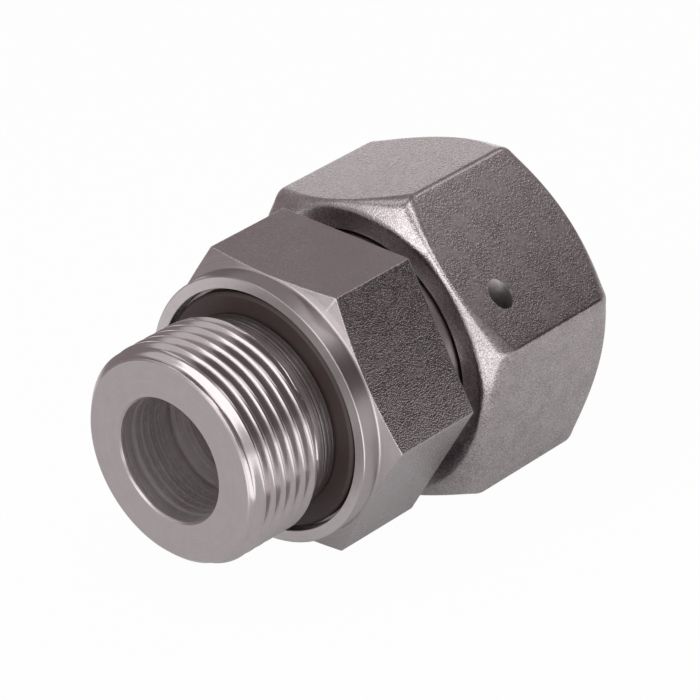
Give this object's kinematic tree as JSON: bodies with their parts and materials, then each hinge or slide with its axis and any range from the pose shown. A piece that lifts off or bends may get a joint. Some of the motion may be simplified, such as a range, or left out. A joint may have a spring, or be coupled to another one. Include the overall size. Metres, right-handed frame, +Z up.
{
  "type": "hydraulic adapter",
  "caption": "Straight hydraulic adapter: male stud with a metric fine thread with a sealing ring in its collar, hexagon body, and a swivel nut over a 24 degree cone.",
  "frame": {"origin": "bottom centre: on the surface the adapter lies on, under the middle of its length and under its axis", "axes": "+X along the adapter's axis from the stud's end face to the nut's open end, +Z up, +Y across"},
  "size_m": [0.0676, 0.0532, 0.046],
  "materials": {
    "body_plating": "machined, zinc-nickel plated, warm grey",
    "nut_plating": "blasted flats, zinc-nickel plated, warm grey",
    "seal_elastomer": "matt moulded elastomer",
    "wire_steel": "drawn spring wire",
    "o_ring_rubber": "matt moulded rubber"
  },
  "bodies": {
    "fitting": {"stud_body": "body_plating", "stud_seal_ring": "seal_elastomer", "retaining_wire": "wire_steel", "cone_o_ring": "o_ring_rubber"},
    "nut": {"swivel_nut": "nut_plating"}
  },
  "joints": [
    {"name": "nut_spin", "type": "hinge", "parent": "fitting", "child": "nut", "pos_m": [0.0141, 0, 0.023], "axis": [1, 0, 0], "continuous": true}
  ]
}
